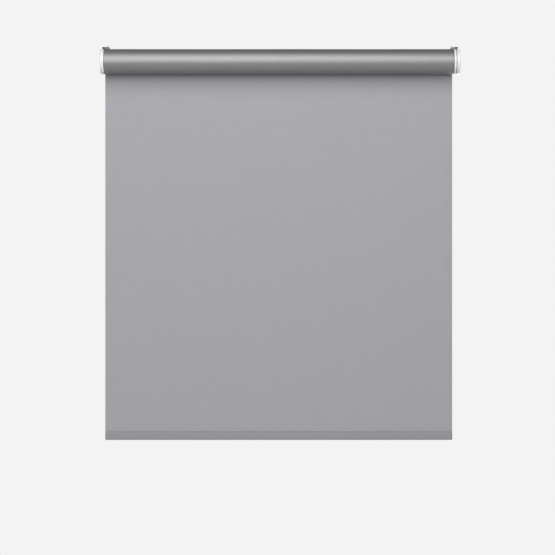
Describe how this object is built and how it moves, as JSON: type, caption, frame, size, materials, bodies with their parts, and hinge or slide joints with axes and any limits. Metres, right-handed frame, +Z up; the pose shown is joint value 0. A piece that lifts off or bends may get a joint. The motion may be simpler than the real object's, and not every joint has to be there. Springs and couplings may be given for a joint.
{
  "type": "roller blind",
  "caption": "Chainless roller blind: grey fabric hanging from the back of a roll between two small white brackets, with a tubular motor in the tube and a bar in the hem.",
  "frame": {"origin": "midway between the outer faces of the two end covers, on the top fixing plane, 31 mm above the roller's axis", "axes": "+X right along the roller, +Y back towards the window, +Z up"},
  "size_m": [0.72, 0.0597, 0.792],
  "materials": {
    "white_plastic": "satin moulded",
    "white_steel": "white powder coat",
    "roll_fabric": "coated fabric, reverse side out, smooth grey",
    "front_fabric": "plain fine weave, lilac grey",
    "hem_fabric": "fine weave, welded pocket",
    "grey_plastic": "moulded",
    "dark_plastic": "moulded",
    "soft_rubber": "matte",
    "aluminium": "mill finish",
    "steel": "zinc plated",
    "circuit_board": "lacquered",
    "cell_wrap": "shrink wrap",
    "clear_lens": "frosted"
  },
  "bodies": {
    "brackets": {"bracket_left": "white_steel", "bracket_right": "white_steel", "bracket_cover_left": "white_plastic", "bracket_cover_right": "white_plastic", "bearing_bush": "dark_plastic", "motor_carrier": "dark_plastic", "carrier_screw_front": "steel", "carrier_screw_back": "steel", "motor_head": "white_plastic", "set_switch": "dark_plastic", "status_lens": "clear_lens", "charge_socket": "steel", "motor_housing": "steel", "gearbox": "dark_plastic", "brake": "steel", "dc_motor": "steel", "control_board": "circuit_board", "battery_cell_1": "cell_wrap", "battery_cell_2": "cell_wrap", "battery_cell_3": "cell_wrap", "cell_cradle": "dark_plastic", "power_lead": "dark_plastic"},
    "roller": {"roller_tube": "aluminium", "fabric_spline": "dark_plastic", "fabric_roll": "roll_fabric", "idle_plug": "grey_plastic", "idle_spring": "steel", "crown_ring": "dark_plastic", "drive_wheel": "grey_plastic", "output_shaft": "steel", "shaft_clip": "steel"},
    "idle_pin": {"idle_pin": "steel"},
    "hem": {"hem_bar": "aluminium", "hem_pocket": "hem_fabric", "hem_cap_left": "grey_plastic", "hem_cap_right": "grey_plastic", "fabric_panel": "front_fabric"},
    "set_button": {"set_button": "grey_plastic"},
    "port_flap": {"port_flap": "soft_rubber"}
  },
  "joints": [
    {"name": "roller_spin", "type": "hinge", "parent": "brackets", "child": "roller", "pos_m": [0, 0, -0.031], "axis": [1, 0, 0], "range_deg": [-350.8, 1637]},
    {"name": "hem_travel", "type": "slide", "parent": "brackets", "child": "hem", "axis": [0, 0, 1], "range_m": [-0.15, 0.7], "deforming": ["fabric_panel"]},
    {"name": "idle_pin_slide", "type": "slide", "parent": "roller", "child": "idle_pin", "axis": [1, 0, 0], "range_m": [0, 0.006], "stiffness_N_per_m": 400, "springref_m": -0.004, "deforming": ["idle_spring"]},
    {"name": "set_button_press", "type": "slide", "parent": "brackets", "child": "set_button", "axis": [0, -0.6428, 0.766], "range_m": [0, 0.0005], "stiffness_N_per_m": 2000, "springref_m": -0.0002},
    {"name": "port_flap_hinge", "type": "hinge", "parent": "brackets", "child": "port_flap", "pos_m": [0.35075, -0.0063, -0.0548], "axis": [-1, 0, 0], "range_deg": [0, 100]}
  ],
  "couplings": [
    {"joint": "hem_travel", "follows": "roller_spin", "m_per_rad": 0.0245}
  ]
}
